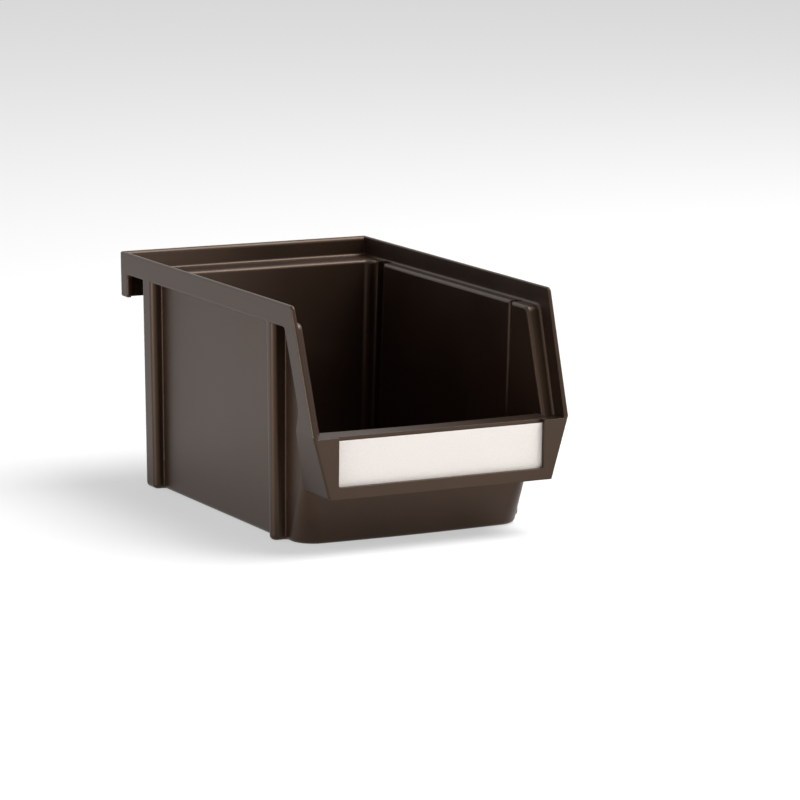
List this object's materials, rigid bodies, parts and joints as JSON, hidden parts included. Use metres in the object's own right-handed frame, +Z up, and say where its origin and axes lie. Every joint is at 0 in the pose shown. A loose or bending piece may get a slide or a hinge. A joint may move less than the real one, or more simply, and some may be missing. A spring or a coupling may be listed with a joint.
{
  "type": "self-service dispensing bin",
  "caption": "Open-front plastic hopper bin for loose dry goods, with a hanging rim at the rear and a pocket for a label card below its low front lip.",
  "frame": {"origin": "centre of the bounding box's bottom face, on the surface the bin stands on", "axes": "+X to the right seen from the front, +Y from the front lip to the hanging rim at the rear, +Z up"},
  "size_m": [0.165, 0.25, 0.137],
  "materials": {
    "bin_plastic": "injection moulded, semi-gloss, dark warm brown",
    "card": "matte white card strip"
  },
  "bodies": {
    "bin": {"bin_body": "bin_plastic"},
    "card": {"label_card": "card"}
  },
  "joints": [
    {"name": "card_lift", "type": "slide", "parent": "bin", "child": "card", "axis": [0, 0, 1], "range_m": [0, 0.031]}
  ]
}
